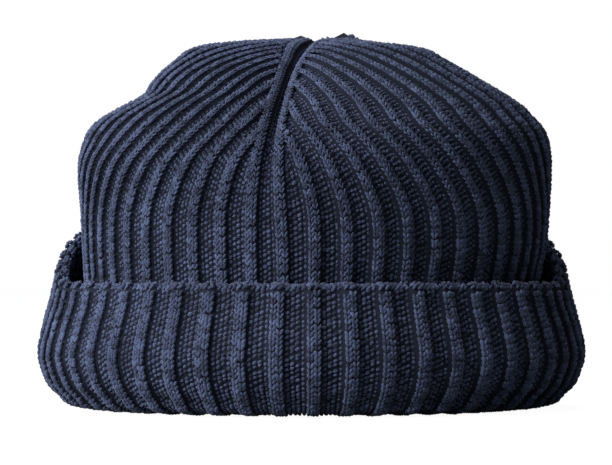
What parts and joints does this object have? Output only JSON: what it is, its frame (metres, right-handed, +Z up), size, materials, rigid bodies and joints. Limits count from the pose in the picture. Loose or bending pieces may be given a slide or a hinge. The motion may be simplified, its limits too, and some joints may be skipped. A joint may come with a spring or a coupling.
{
  "type": "docker cap",
  "caption": "Short ribbed knit cap with a dome closed by darts and a turned-up cuff that stands off it, open below for the head",
  "frame": {"origin": "on the surface that the cap rests on, under the middle of its outline", "axes": "+Z up through the crown, -Y the front dart, +X the wearer's left, Y the longer way across the head"},
  "size_m": [0.1964, 0.2168, 0.1357],
  "materials": {
    "crown_knit": "navy rib knit, matte wool yarn with a faint halo",
    "cuff_knit": "navy rib knit, matte wool yarn with a faint halo"
  },
  "bodies": {
    "root": {"crown": "crown_knit", "cuff": "cuff_knit"}
  },
  "joints": []
}
